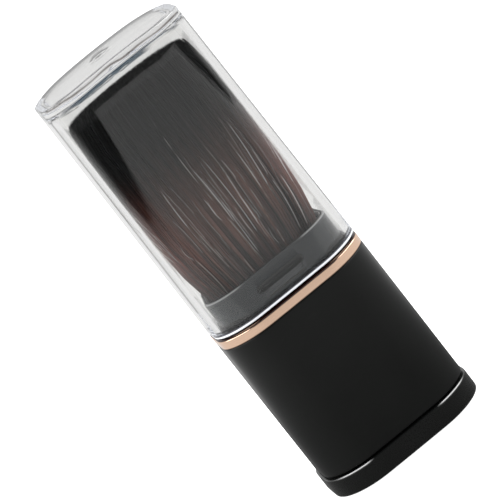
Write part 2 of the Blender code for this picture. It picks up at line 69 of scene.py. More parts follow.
# Insets from the body outline at which the mouldings stand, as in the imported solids, but for
# the cap's wall, which is 0.15 mm thinner so that the outermost hairs have their own room
SLEEVE_WALL = 0.0018
CAP_WALL = 0.00185
COLLAR_INSET = 0.00265
MOUTH_INSET = 0.00395
SKIRT_INSET = 0.0021
TENON_INSET = 0.00595
ROOT_INSET = 0.00535
# Gap at which pieces seat, and how far the cap's walls lean in from its mouth to its top
SEAT_GAP = 0.0003
CAP_DRAFT = 0.0006
# Height of the snap slot in the collar and of the cap's ridges, which drop into it
RIDGE_HEIGHT = COLLAR_HIGH.z - 0.0036
# Half width and half depth of the tuft where it is fullest, if the cap didn't hold it in
TUFT_FULL = np.array([0.0174, 0.0111])
# Half width of the tuft's middle part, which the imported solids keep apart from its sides
TUFT_MIDDLE = 0.0075


def linear(hex_color):
    """Linear RGB of an sRGB hex colour."""
    parts = [int(hex_color[start:start + 2], 16) / 255 for start in (1, 3, 5)]
    return tuple(p / 12.92 if p <= 0.04045 else ((p + 0.055) / 1.055) ** 2.4 for p in parts)


def length(name, description, default):
    """Property for a length in metres."""
    return FloatProperty(name=name, description=description, default=default, unit="LENGTH",
                         precision=5)


def angle(name, description, default):
    """Property for an angle that is given in degrees."""
    return FloatProperty(name=name, description=description, default=math.radians(default),
                         subtype="ANGLE")


def color(name, description, default):
    """Property for a colour that is given as sRGB hex."""
    return FloatVectorProperty(name=name, description=description, default=linear(default),
                               subtype="COLOR", min=0.0, max=1.0)


class BrushSizes(PropertyGroup):
    """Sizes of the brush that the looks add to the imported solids."""

    corner_radius: length("Corner radius", "Radius of the body outline's corners", 0.0108)
    face_crown: length("Face crown", "Bow of the broad faces", 0.0004)
    side_crown: length("Side crown", "Bow of the narrow sides", 0.0002)
    edge_round: length("Edge rounding", "Rounding of moulded edges", 0.0003)
    recess_depth: length("Recess depth", "Depth of the collar's snap slot", 0.0010)
    hair_spacing: length("Hair spacing", "Distance between hairs at the root", 0.00021)
    hair_radius: length("Hair radius", "Radius of a hair below its taper", 0.000095)
    tuft_height: length("Tuft height", "Length of the longest hairs above the root", 0.0542)
    wall_wave: length("Wall wave", "Height of the flow waves in the cap's top", 0.00008)
    light_hairs: IntProperty(name="Light hairs", description="Number of sparse light hairs",
                             default=150, min=0)


class BrushColors(PropertyGroup):
    """Colours of the brush."""

    sleeve: color("Sleeve", "Soft-touch coating on the sleeve", "#121312")
    base: color("Base", "Moulded black of the base cap", "#0f100f")
    ring: color("Ring", "Rose gold plating", "#f1cdb3")
    collar: color("Collar", "Dark grey of the neck collar", "#25282a")
    cap: color("Cap", "Tint of the clear cap", "#fbfbfa")
    hair_tip: color("Hair tips", "Upper part of the hairs", "#08090a")
    hair_root: color("Hair lower part", "Lower part of the hairs", "#5e433b")
    hair_side: color("Hair at the sides", "Lower part of the hairs at the sides", "#5c2f26")
    hair_light: color("Light hairs", "Sparse light hairs", "#fff6ec")
    slider: color("Slider", "Inner slider tube", "#26272a")
    bush: color("Bush", "Guide bush", "#5d5e60")
    resin: color("Resin", "Resin that bonds the hair roots", "#3a2a1c")


class StageSettings(PropertyGroup):
    """Camera and light."""

    azimuth: angle("Azimuth", "Camera's turn from the front", -4.265)
    elevation: angle("Elevation", "Camera's angle above the floor", 11.636)
    roll: angle("Roll", "Lean of the brush in the frame", 38.128)
    distance: length("Distance", "Camera to aim point", 0.7923)
    aim_height: length("Aim height", "Height that the camera looks at", 0.053)
    focal: FloatProperty(name="Focal length", description="Lens on a 36 mm sensor, in mm",
                         default=264.2)
    slide_x: length("Sideways offset", "Camera moved left in its own frame", 0.00135)
    slide_y: length("Upward offset", "Camera moved up in its own frame", 0.00021)
    floor_white: color("Floor", "Pale floor", "#cfcfcf")
    sky: FloatProperty(name="Sky", description="Strength of the plain white surround",
                       default=0.90)
    softbox: FloatProperty(name="Softbox", description="Power of each soft light, in watts",
                           default=4.0)


# Surfaces


def put(name, data):
    """New object of some data, in the scene."""
    item = bpy.data.objects.new(name, data)
    bpy.context.scene.collection.objects.link(item)
    return item


def mesh_object(name, points, quads, triangles, material):
    """Object of arrays of points, quads and triangles, faces turned outward, shaded smooth."""
    corner = points[triangles] if len(triangles) else np.zeros((0, 3, 3))
    fans = np.concatenate([points[quads[:, [0, 1, 2]]], points[quads[:, [0, 2, 3]]], corner])
    volume = np.einsum("ij,ij->i", fans[:, 0], np.cross(fans[:, 1], fans[:, 2])).sum()
    if volume < 0:
        quads = quads[:, ::-1]
        triangles = triangles[:, ::-1]
    mesh = bpy.data.meshes.new(name)
    loops = np.concatenate([quads.ravel(), triangles.ravel()]).astype(np.int32)
    sizes = np.concatenate([np.full(len(quads), 4), np.full(len(triangles), 3)])
    starts = np.concatenate([[0], np.cumsum(sizes)[:-1]]).astype(np.int32)
    mesh.vertices.add(len(points))
    mesh.vertices.foreach_set("co", points.astype(np.float32).ravel())
    mesh.loops.add(len(loops))
    mesh.loops.foreach_set("vertex_index", loops)
    mesh.polygons.add(len(sizes))
    mesh.polygons.foreach_set("loop_start", starts)
    mesh.update(calc_edges=True)
    mesh.validate()
    mesh.shade_smooth()
    mesh.materials.append(material)
    return put(name, mesh)


def outline_template(corner_steps, long_steps, short_steps):
    """Rows (share of corner centre x, share of y, cos, sin) round the body outline.

    A point is the corner centre times its shares plus the radius times (cos, sin). On a
    straight run one share goes evenly from one corner's sign to the next one's.
    """
    rows = []
    signs = np.array([(1, 1), (-1, 1), (-1, -1), (1, -1)], float)
    for quarter, steps in enumerate((long_steps, short_steps, long_steps, short_steps)):
        angle = (quarter + np.linspace(0, 1, corner_steps + 1)) * math.pi / 2
        here, following = signs[quarter], signs[(quarter + 1) % 4]
        arc = np.column_stack([np.tile(here, (len(angle), 1)), np.cos(angle), np.sin(angle)])
        share = (np.arange(1, steps) / steps)[:, None]
        end = np.array([[np.cos(angle[-1]), np.sin(angle[-1])]])
        run = np.hstack([here + (following - here) * share, np.tile(end, (len(share), 1))])
        rows += [arc, run]
    return np.concatenate(rows)


def around_body(profile, template):
    """Points (rows, columns, 3) of a profile of (inset, height, scale) rows round the body.

    x = sx (half width - radius) + radius cos a, and the like for y. Each then grows by the
    crown of its face times one minus the square of the other's share of the half size, and is
    multiplied by the row's scale. A corner keeps a radius of 0.4 mm at least.
    """
    sizes = bpy.context.scene.brush_sizes
    inset, height, scale = (profile[:, [k]] for k in range(3))
    half_width = SLEEVE_HIGH.x - sizes.side_crown - inset
    half_depth = SLEEVE_HIGH.y - sizes.face_crown - inset
    radius = np.maximum(sizes.corner_radius - inset, 0.0004)
    share_x, share_y, cos, sin = template.T
    x = share_x * (half_width - radius) + radius * cos
    y = share_y * (half_depth - radius) + radius * sin
    bow_x = sizes.side_crown * (x / half_width) * (1 - (y / half_depth) ** 2)
    bow_y = sizes.face_crown * (y / half_depth) * (1 - (x / half_width) ** 2)
    z = np.broadcast_to(height, x.shape)
    return np.stack([(x + bow_x) * scale, (y + bow_y) * scale, z], axis=-1)


def grid_object(name, grid, ends, material):
    """Closed surface of a grid whose columns join round.

    ends is "ring" where the rows join round too, and "poles" where the first and last rows
    each shrink to one point.
    """
    rows, columns = grid.shape[:2]
    index = np.arange(rows * columns).reshape(rows, columns)
    after = np.roll(index, -1, axis=1)
    if ends == "ring":
        upper, upper_after = np.roll(index, -1, axis=0), np.roll(after, -1, axis=0)
        quads = np.stack([index, after, upper_after, upper], axis=-1).reshape(-1, 4)
        return mesh_object(name, grid.reshape(-1, 3), quads, np.zeros((0, 3), int), material)
    quads = np.stack([index[:-1], after[:-1], after[1:], index[1:]], axis=-1).reshape(-1, 4)
    points = np.concatenate([grid.reshape(-1, 3), grid[[0, -1]].mean(axis=1)])
    low = np.full(columns, rows * columns)
    first = np.stack([after[0], index[0], low], axis=-1)
    last = np.stack([index[-1], after[-1], low + 1], axis=-1)
    return mesh_object(name, points, quads, np.concatenate([first, last]), material)


def rounded(corners, closed, steps=5):
    """Profile rows (inset, height, 1) with each corner (inset, height, radius) rounded.

    A corner's curve leaves and rejoins the straight runs at its radius from the corner C:
    (1-t)^2 A + 2t(1-t) C + t^2 B. A support point stands at 1.7 radii on each side, so that
    the flat runs keep their own normals.
    """
    corners = np.asarray(corners, float)
    place, radius = corners[:, :2], corners[:, 2:3]
    before, behind = np.roll(place, 1, axis=0), np.roll(place, -1, axis=0)
    if not closed:
        before[0], behind[-1] = place[0], place[-1]

    def unit(step):
        size = np.linalg.norm(step, axis=1, keepdims=True)
        return np.divide(step, size, out=np.zeros_like(step), where=size > 0)

    back, on = unit(before - place), unit(behind - place)
    start, end = place + back * radius, place + on * radius
    t = np.linspace(0, 1, steps + 1)[None, :, None]
    curve = (1 - t) ** 2 * start[:, None] + 2 * t * (1 - t) * place[:, None] + t ** 2 * end[:, None]
    support_in = (place + back * radius * 1.7)[:, None]
    support_out = (place + on * radius * 1.7)[:, None]
    path = np.concatenate([support_in, curve, support_out], axis=1).reshape(-1, 2)
    apart = np.linalg.norm(path - np.roll(path, 1, axis=0), axis=1) > 1e-7
    apart[0] |= not closed
    path = path[apart]
    return np.column_stack([path, np.ones(len(path))])


def filled(profile, rows):
    """Profile with even rows added along each run, in proportion, for a finer surface."""
    share = np.linspace(0, 1, rows, endpoint=False)[None, :, None]
    run = profile[:-1, None] + (profile[1:] - profile[:-1])[:, None] * share
    return np.concatenate([run.reshape(-1, 3), profile[-1:]])


def closed_off(profile, count=7):
    """Profile with rows added that shrink evenly from each of its ends towards the middle."""
    scale = np.linspace(1, 0, count + 1)[1:-1]
    first, last = (np.column_stack([np.tile(row[:2], (len(scale), 1)), scale])
                   for row in profile[[0, -1]])
    return np.concatenate([first[::-1], profile, last])


def smooth_step(value, low, high):
    """0 below low, 1 above high, and 3t^2 - 2t^3 between."""
    t = np.clip((value - low) / (high - low), 0, 1)
    return t * t * (3 - 2 * t)


def peak(value, middle, width, power=2):
    """1 at the middle and less on both sides: exp(-((value - middle) / width)^power)."""
    return np.exp(-((value - middle) / width) ** power)


# Materials


def add(tree, kind, inputs=None, stops=(), **settings):
    """Add a node with its settings, and set or link its inputs.

    An input takes a number, a vector, a colour, a socket, or a node, which stands for its first
    output. Stops are the (place, level) pairs of a grey ramp that runs from 0 to 1. A Mix node
    of colours has its factor at input 0, and its colours at inputs 6 and 7.
    """
    made = tree.nodes.new("ShaderNode" + kind)
    for key, value in settings.items():
        setattr(made, key, value)
    ends = {0.0: 0, 1.0: -1}
    for position, level in stops:
        points = made.color_ramp.elements
        point = points[ends[position]] if position in ends else points.new(position)
        point.color = (level, level, level, 1.0)
    for key, value in (inputs or {}).items():
        socket = made.inputs[key]
        if isinstance(value, bpy.types.Node):
            value = next(output for output in value.outputs if output.enabled)
        if isinstance(value, bpy.types.NodeSocket):
            tree.links.new(value, socket)
        elif socket.type == "RGBA":
            socket.default_value = (*value, 1.0)
        else:
            socket.default_value = value
    return made


def new_tree(name):
    """Empty node material, its tree and its object coordinates."""
    material = bpy.data.materials.new(name)
    material.use_nodes = True
    tree = material.node_tree
    tree.nodes.clear()
    return material, tree, add(tree, "TexCoord").outputs["Object"]


def layered(tree, ground, *layers):
    """Colour of a ground with layers laid over it in turn, each a mask and its colour."""
    for mask, tint in layers:
        ground = add(tree, "Mix", {0: mask, 6: ground, 7: tint}, data_type="RGBA")
    return ground


def shade(color_value, share):
    """A colour made darker or lighter by a share."""
    return tuple(min(1.0, part * share) for part in color_value)


def specks(tree, coords, spacing, size_share, amount):
    """Mask of sparse round specks: Voronoi cells of a spacing, of which a few hold a dot."""
    cells = add(tree, "TexVoronoi", {"Vector": coords, "Scale": 1 / spacing, "Randomness": 1.0})
    near = add(tree, "MapRange", {"Value": cells, "From Min": size_share,
                                  "From Max": size_share * 0.5})
    pick = add(tree, "SeparateColor", {"Color": cells.outputs["Color"]})
    chosen = add(tree, "Math", {0: pick.outputs["Red"], 1: 1 - amount}, operation="GREATER_THAN")
    return add(tree, "Math", {0: near, 1: chosen}, operation="MULTIPLY")


def moulded_plastic(name, base, roughness, specular, grain, grain_height, dust, coat=0.0,
                    reads_painted_shading=False):
    """Moulded plastic: fine spark-eroded grain, slow mottling, faint rub marks and dust.

    The grain on a real moulding is 0.03 to 0.08 mm. It is drawn coarser so that it shows.
    Where the painted shading is above zero, the piece is painted darker as shade, as in hollows
    where little light gets. Where it is below zero, an edge gets a painted highlight.
    """
    material, tree, coords = new_tree(name)
    fine = add(tree, "TexNoise", {"Vector": coords, "Scale": 1 / grain, "Detail": 3.0,
                                  "Roughness": 0.6})
    slow = add(tree, "TexNoise", {"Vector": coords, "Scale": 1 / 0.009, "Detail": 2.0})
    stretched = add(tree, "Mapping", {"Vector": coords, "Rotation": (0.3, 0.5, 0.9),
                                      "Scale": (220.0, 2600.0, 1500.0)})
    rubs = add(tree, "TexNoise", {"Vector": stretched, "Scale": 1.0, "Detail": 2.0})
    rub = add(tree, "MapRange", {"Value": rubs, "From Min": 0.66, "From Max": 0.78,
                                 "To Max": 0.10})
    motes = specks(tree, coords, spacing=0.0042, size_share=0.035, amount=dust)
    layers = [(slow, shade(base, 1.2)), (rub, shade(base, 3.5)), (motes, (0.42, 0.41, 0.39))]
    # Painted shade where the painted shading is above zero, painted highlight where it is below
    # zero
    if reads_painted_shading:
        painted_shading = add(tree, "Attribute", attribute_name="painted_shading").outputs["Fac"]
        bright = add(tree, "MapRange", {"Value": painted_shading, "From Min": 0.0, "From Max": -1.0})
        layers += [(painted_shading, shade(base, 0.12)), (bright, (0.66, 0.66, 0.66))]
    rough = add(tree, "MapRange", {"Value": fine, "From Min": 0.3, "From Max": 0.7,
                                   "To Min": roughness - 0.05, "To Max": roughness + 0.06})
    bump = add(tree, "Bump", {"Height": fine, "Strength": 0.35, "Distance": grain_height})
    shader = add(tree, "BsdfPrincipled", {
        "Base Color": layered(tree, shade(base, 0.82), *layers), "Roughness": rough,
        "Normal": bump, "Specular IOR Level": specular, "IOR": 1.5, "Coat Weight": coat,
        "Coat Roughness": 0.28, "Coat IOR": 1.25})
    add(tree, "OutputMaterial", {"Surface": shader})
    return material


def plated_metal(name, base):
    """Rose gold plating on a moulding, satin brushed along the band.

    The brush lines are 0.02 to 0.05 mm wide on a real band. They are drawn about 0.1 mm wide
    and many millimetres long, so that they show as a faint streaking. Where its painted shading
    is above zero, it is painted nearly black with a dark red tint, as shade and dark reflection.
    """
    material, tree, coords = new_tree(name)
    along = add(tree, "Mapping", {"Vector": coords, "Scale": (60.0, 60.0, 9000.0)})
    lines = add(tree, "TexNoise", {"Vector": along, "Scale": 1.0, "Detail": 3.0})
    clouds = add(tree, "TexNoise", {"Vector": coords, "Scale": 1 / 0.006, "Detail": 2.0})
    painted_shading = add(tree, "Attribute", attribute_name="painted_shading").outputs["Fac"]
    # Painted shade and dark reflection: nearly black where the painted shading is above zero
    tint = layered(tree, shade(base, 0.94), (clouds, shade(base, 1.04)),
                   (lines, shade(base, 0.93)), (painted_shading, (0.030, 0.006, 0.004)))
    rough = add(tree, "MapRange", {"Value": lines, "From Min": 0.3, "From Max": 0.7,
                                   "To Min": 0.13, "To Max": 0.22})
    bump = add(tree, "Bump", {"Height": lines, "Strength": 0.25, "Distance": 0.00001})
    shader = add(tree, "BsdfPrincipled", {"Base Color": tint, "Metallic": 1.0,
                                          "Roughness": rough, "Normal": bump})
    add(tree, "OutputMaterial", {"Surface": shader})
    return material


def clear_moulding(name, base):
    """Injection moulded clear acrylic: polished walls with slow waves and faint haze.

    The flow waves of such a moulding are several millimetres long and a few thousandths of a
    millimetre high. The lip at its mouth is frosted, so it looks white, under a dark line painted
    as shade where the wall starts to round. Where the painted shading is above zero, a dark line
    is painted as shade, and where it is below zero, bluish dark streaks are painted as reflections.
    Light passes through the cap to what is inside, so shadow rays see it as clear.
    """
    material, tree, coords = new_tree(name)
    waves = add(tree, "TexNoise", {"Vector": coords, "Scale": 1 / 0.006, "Detail": 1.0})
    haze = add(tree, "TexNoise", {"Vector": coords, "Scale": 1 / 0.004, "Detail": 4.0})
    rough = add(tree, "MapRange", {"Value": haze, "From Min": 0.4, "From Max": 0.8,
                                   "To Max": 0.03})
    height = add(tree, "SeparateXYZ", {"Vector": coords}).outputs["Z"]
    near_top = add(tree, "MapRange", {"Value": height, "From Min": CAP_HIGH.z - 0.0042,
                                      "From Max": CAP_HIGH.z - 0.0015, "To Min": 0.02,
                                      "To Max": 0.10}, interpolation_type="SMOOTHSTEP")
    lip, edge = (add(tree, "MapRange", {"Value": height, "From Min": CAP_LOW.z + low,
                                        "From Max": CAP_LOW.z + high, "To Min": 1.0,
                                        "To Max": 0.0})
                 for low, high in ((0.00050, 0.00062), (0.00098, 0.00106)))
    clearness = add(tree, "Math", {0: 1.0, 1: lip}, operation="SUBTRACT")
    # Painted shade: a dark line where the wall starts to round above the lip
    line = add(tree, "Math", {0: edge, 1: clearness}, operation="MULTIPLY")
    frosted = add(tree, "Math", {0: lip, 1: 0.5, 2: rough}, operation="MULTIPLY_ADD")
    swell = add(tree, "Math", {0: waves, 1: near_top}, operation="MULTIPLY")
    bump = add(tree, "Bump", {"Height": swell, "Strength": 0.25, "Distance": 0.0004})
    # Painted light and shade from the attribute: a dark line as shade above zero, streaks as dark
    # reflections below zero
    mark = add(tree, "Attribute", attribute_name="painted_shading").outputs["Fac"]
    painted_edge_line = add(tree, "Math", {0: mark, 1: 0.0}, operation="MAXIMUM")
    painted_streak_zone = add(tree, "Math", {0: mark, 1: -1.0}, operation="MULTIPLY", use_clamp=True)
    drawn = add(tree, "Mapping", {"Vector": coords, "Scale": (140.0, 0.0, 2300.0)})
    flow = add(tree, "TexNoise", {"Vector": drawn, "Scale": 1.0, "Detail": 2.0,
                                  "Distortion": 0.9})
    flow = add(tree, "MapRange", {"Value": flow, "From Min": 0.38, "From Max": 0.50})
    painted_streak = add(tree, "Math", {0: flow, 1: painted_streak_zone}, operation="MULTIPLY")
    motes = specks(tree, coords, spacing=0.006, size_share=0.03, amount=0.12)
    cloudy = layered(tree, (0.84, 0.86, 0.92), (haze, (0.96, 0.97, 1.0)))
    tint = layered(tree, base, (motes, (0.80, 0.82, 0.85)), (lip, cloudy),
                   (painted_edge_line, (0.05, 0.035, 0.03)), (painted_streak, (0.03, 0.045, 0.06)),
                   (line, (0.012, 0.012, 0.014)))
    glass = add(tree, "BsdfPrincipled", {
        "Base Color": tint, "Roughness": frosted, "IOR": 1.49,
        "Transmission Weight": clearness, "Normal": bump})
    clear = add(tree, "BsdfTransparent", {"Color": (0.93, 0.94, 0.95)})
    path = add(tree, "LightPath")
    mix = add(tree, "MixShader", {0: path.outputs["Is Shadow Ray"], 1: glass, 2: clear})
    add(tree, "OutputMaterial", {"Surface": mix})
    return material


def dyed_hair(name, root_color, side_color, tip_color):
    """Synthetic hair, dyed black at the tips and dark brown below, each hair a little unlike.

    The dye line is ragged: it moves up and down with a tone that each hair carries. Close to
    its root the hair is painted darker again, as shade of the collar's mouth, and it has its
    side colour away from the middle.
    """
    material, tree, coords = new_tree(name)
    tone = add(tree, "Attribute", attribute_name="hair_tone").outputs["Fac"]
    spot = add(tree, "SeparateXYZ", {"Vector": coords}).outputs
    shift = add(tree, "MapRange", {"Value": tone, "To Min": -0.006, "To Max": 0.006})
    moved = add(tree, "Math", {0: spot["Z"], 1: shift}, operation="ADD")
    width = add(tree, "Math", {0: spot["X"]}, operation="ABSOLUTE")
    above_root, dyed, aside = (
        add(tree, "MapRange", {"Value": value, "From Min": low, "From Max": high},
            interpolation_type="SMOOTHSTEP")
        for value, low, high in ((moved, 0.050, 0.066), (moved, 0.064, 0.086),
                                 (width, 0.008, 0.0155)))

    def unlike(color_value, dark, light):
        """Colour that lies between two shades of one, by the hair's tone."""
        return layered(tree, shade(color_value, dark), (tone, shade(color_value, light)))

    lower = layered(tree, unlike(root_color, 0.45, 2.5), (aside, unlike(side_color, 0.45, 2.4)))
    # Below above_root the hair is painted darker, as shade
    tint = layered(tree, unlike(root_color, 0.08, 0.40), (above_root, lower),
                   (dyed, unlike(tip_color, 0.6, 1.7)))
    rough = add(tree, "MapRange", {"Value": tone, "To Min": 0.38, "To Max": 0.55})
    shader = add(tree, "BsdfPrincipled", {"Base Color": tint, "Roughness": rough,
                                          "Specular IOR Level": 0.20, "IOR": 1.5})
    add(tree, "OutputMaterial", {"Surface": shader})
    return material


def bonded_resin(name, base):
    """Cast epoxy that bonds the hair roots: dark amber, glossy, with hair ends in it."""
    material, tree, coords = new_tree(name)
    ends = add(tree, "TexVoronoi", {"Vector": coords, "Scale": 1 / 0.0003})
    flow = add(tree, "TexNoise", {"Vector": coords, "Scale": 1 / 0.003, "Detail": 2.0})
    tint = layered(tree, shade(base, 0.5), (ends, shade(base, 1.3)), (flow, shade(base, 0.8)))
    bump = add(tree, "Bump", {"Height": flow, "Strength": 0.3, "Distance": 0.0001})
    shader = add(tree, "BsdfPrincipled", {"Base Color": tint, "Roughness": 0.22, "IOR": 1.55,
                                          "Normal": bump})
    add(tree, "OutputMaterial", {"Surface": shader})
    return material


def set_painted_shading(item, values):
    """Store each point's painted light and shade, for the materials to read."""
    shades = item.data.attributes.new("painted_shading", "FLOAT", "POINT")
    shades.data.foreach_set("value", np.asarray(values, np.float32).ravel())


def place(item, body, nodes, slot):
    """Let a piece ride on a body and stand for its nodes; its slot argument is not used."""
    if not len(item.data.polygons):
        raise RuntimeError(f"{item.name} has no faces")
    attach(item, body)
    if nodes:
        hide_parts(*nodes)


# Pieces


class BRUSH_OT_base(Operator):
    """Base cap: rounded foot, thin lip and the boss that plugs into the slider tube."""

    bl_idname = "brush.base"
    bl_label = "Base cap"

    def execute(self, context):
        sizes, colors = context.scene.brush_sizes, context.scene.brush_colors
        proud = SLEEVE_HIGH.x - BASE_HIGH.x
        top = SLIDER_LOW.z - SEAT_GAP
        # Insets of the flat underside and the bore, and height of the bore's floor
        under, bore, floor = 0.0040, TENON_INSET + 0.0014, 0.0018
        profile = closed_off(rounded([
            (under, 0.0, 0.0), (proud, 0.0, 0.0009), (proud, top, sizes.edge_round),
            (TENON_INSET, top, 0.0002), (TENON_INSET, BASE_HIGH.z, 0.0003),
            (bore, BASE_HIGH.z, 0.0002), (bore, floor, 0.0003), (bore + 0.0016, floor, 0.0),
        ], closed=False))
        grid = around_body(profile, outline_template(24, 12, 6))
        material = moulded_plastic(
            "base_abs_moulded", colors.base, roughness=0.28, specular=0.32, grain=0.00022,
            grain_height=0.000004, dust=0.06, coat=0.3, reads_painted_shading=True)
        item = grid_object("base_cap_moulding", grid, "poles", material)
        # The lip's edge gets a painted highlight where it turns towards the corners
        x, z = np.abs(grid[..., 0]), grid[..., 2]
        turn = smooth_step(x, 0.0090, 0.0105) * (1 - smooth_step(x, 0.0155, 0.0180))
        lip = peak(z, top - 0.00010, 0.00012) * (profile[:, [0]] < proud + 0.0003)
        set_painted_shading(item, np.append(-turn * lip, [0, 0]))
        place(item, "brush_core", ["base_cap"], "moulded_black")
        return {"FINISHED"}


class BRUSH_OT_sleeve(Operator):
    """Outer sleeve with its soft-touch coating."""

    bl_idname = "brush.sleeve"
    bl_label = "Sleeve"

    def execute(self, context):
        sizes, colors = context.scene.brush_sizes, context.scene.brush_colors
        bottom, top = SLEEVE_LOW.z, SLEEVE_HIGH.z
        edge = sizes.edge_round
        profile = rounded([(0.0, bottom, 0.0005), (0.0, top, edge), (SLEEVE_WALL, top, edge),
                           (SLEEVE_WALL, bottom, edge)], closed=True)
        grid = around_body(profile, outline_template(28, 14, 8))
        material = moulded_plastic(
            "sleeve_soft_touch_coating", colors.sleeve, roughness=0.55, specular=0.08,
            grain=0.00030, grain_height=0.000008, dust=0.012, coat=0.8)
        item = grid_object("sleeve_coated", grid, "ring", material)
        place(item, "sleeve", ["sleeve_shell"], "soft_touch_black")
        return {"FINISHED"}


class BRUSH_OT_ring(Operator):
    """Rose gold trim ring: satin band with a narrow step above it, painted dark as shade."""

    bl_idname = "brush.ring"
    bl_label = "Trim ring"

    def execute(self, context):
        colors = context.scene.brush_colors
        proud = SLEEVE_HIGH.x - RING_HIGH.x
        # Height of the dark step, and inset of its upper rim
        step, rim = 0.00045, 0.00055
        low, band_top, top = SLEEVE_HIGH.z + 0.00005, RING_HIGH.z - step, RING_HIGH.z
        bore = COLLAR_INSET - SEAT_GAP
        slope = [(proud + (rim - proud) * share, band_top + step * share, 0.0)
                 for share in (0.34, 0.45, 0.55, 0.66, 0.77)]
        profile = rounded([
            (proud, low, 0.00025), (proud, band_top, 0.00015), *slope, (rim, top, 0.00008),
            (bore, top, 0.0001), (bore, low, 0.0001),
        ], closed=True)
        grid = around_body(profile, outline_template(28, 14, 8))
        item = grid_object("trim_ring_plated", grid, "ring",
                           plated_metal("ring_rose_gold_plating", colors.ring))
        # The slope is painted dark as shade and dark reflection, but for a painted highlight streak
        # where it turns each corner
        x, y, z = (grid[..., k] for k in range(3))
        painted_streak = peak(np.abs(x), 0.0130, 0.0028, 4) * (np.abs(y) > 0.008)
        painted_streak = painted_streak * peak(z, band_top + 0.6 * step, 0.16 * step)
        dark = smooth_step(z, band_top + 0.00003, band_top + 0.00010)
        set_painted_shading(item, dark * (1 - 0.9 * painted_streak))
        place(item, "sleeve", ["trim_ring"], "rose_gold_plate")
        return {"FINISHED"}


class BRUSH_OT_collar(Operator):
    """Neck collar with a sloping snap recess in front and behind."""

    bl_idname = "brush.collar"
    bl_label = "Neck collar"

    def execute(self, context):
        sizes, colors = context.scene.brush_sizes, context.scene.brush_colors
        bottom, shoulder, rim = COLLAR_LOW.z, SLEEVE_HIGH.z, COLLAR_HIGH.z
        recess_top, recess_foot = rim - 0.0029, rim - 0.0060
        wall = [(COLLAR_INSET, height, 0.0)
                for height in np.arange(recess_foot - 0.0003, recess_top + 0.0003, 0.0001)]
        profile = rounded([
            (SKIRT_INSET, bottom, 0.0002), (SKIRT_INSET, shoulder, 0.0002),
            (COLLAR_INSET, shoulder, 0.0002), *wall, (COLLAR_INSET, rim, 0.0005),
            (MOUTH_INSET, rim, 0.0005), (MOUTH_INSET, bottom, 0.0003),
        ], closed=True)
        grid = around_body(profile, outline_template(20, 150, 8))
        x, y, z = (grid[..., k] for k in range(3))
        # A slot with round ends is deepest, and a slope runs out from it to a step at the foot
        half_tall, half_long = recess_top - RIDGE_HEIGHT + 0.0002, 0.0052
        beyond = np.maximum(np.abs(x) - half_long, 0)
        slot = 1 - smooth_step(np.hypot(beyond, z - RIDGE_HEIGHT), half_tall - 0.0001,
                               half_tall + 0.0001)
        down = np.clip((RIDGE_HEIGHT - z) / (RIDGE_HEIGHT - recess_foot), 0, 1)
        end = half_long - 0.0005 * down
        between = (z < RIDGE_HEIGHT) * smooth_step(z, recess_foot - 0.0001,
                                                   recess_foot + 0.0001)
        slope = (0.65 - 0.45 * down) * (1 - smooth_step(np.abs(x), end, end + 0.0003)) * between
        outer = np.isclose(profile[:, [0]], COLLAR_INSET, atol=0.00002)
        depth = sizes.recess_depth * np.maximum(slot, slope) * outer
        grid[..., 1] -= np.sign(y) * depth
        material = moulded_plastic(
            "collar_abs_satin", colors.collar, roughness=0.22, specular=0.42, grain=0.00025,
            grain_height=0.000003, dust=0.05, reads_painted_shading=True)
        item = grid_object("neck_collar_moulding", grid, "ring", material)
        # The foot lies in the cap's shade, which is deeper at the corners
        foot = CAP_LOW.z + 0.0009 + 0.0010 * smooth_step(np.abs(x), 0.0085, 0.0125)
        foot = 1 - smooth_step(z, foot, foot + 0.0002)
        # The slot and a line at the slope's foot are painted dark as shade, as is the foot
        line = (np.abs(z - recess_foot) < 0.00012) * (np.abs(x) < half_long + 0.0001)
        dark = np.maximum.reduce([slot, foot, 0.8 * line]) * outer
        # The rim's edges get a painted highlight towards the corners
        near = profile[:, [0]] < (COLLAR_INSET + MOUTH_INSET) / 2
        turn = np.where(near, 0.45 * smooth_step(np.abs(x), 0.0070, 0.0100),
                        0.9 * smooth_step(np.abs(x), 0.0115, 0.0135))
        bright = turn * peak(z, rim - 0.00020, 0.00014)
        # The slope, which faces up, is painted a little lighter, as where more light falls
        set_painted_shading(item, dark - bright - 0.02 * (slope > 0) * (dark == 0))
        place(item, "sleeve", ["neck_collar"], "collar_dark_grey")
        return {"FINISHED"}


class BRUSH_OT_inner(Operator):
    """Finishes of the slider tube, the bush and the holder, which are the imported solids."""

    bl_idname = "brush.inner"
    bl_label = "Inner mouldings"

    def execute(self, context):
        colors = context.scene.brush_colors
        for node, name, tint, roughness, specular, dust in (
                ("slider_tube", "slider_pom_moulded", colors.slider, 0.42, 0.45, 0.02),
                ("guide_bush", "bush_pom_moulded", colors.bush, 0.40, 0.45, 0.0),
                ("tuft_holder", "holder_abs_moulded", colors.slider, 0.45, 0.40, 0.0)):
            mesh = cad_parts[node].data
            mesh.materials.clear()
            mesh.materials.append(moulded_plastic(
                name, tint, roughness, specular, grain=0.00025, grain_height=0.00001,
                dust=dust))
        return {"FINISHED"}


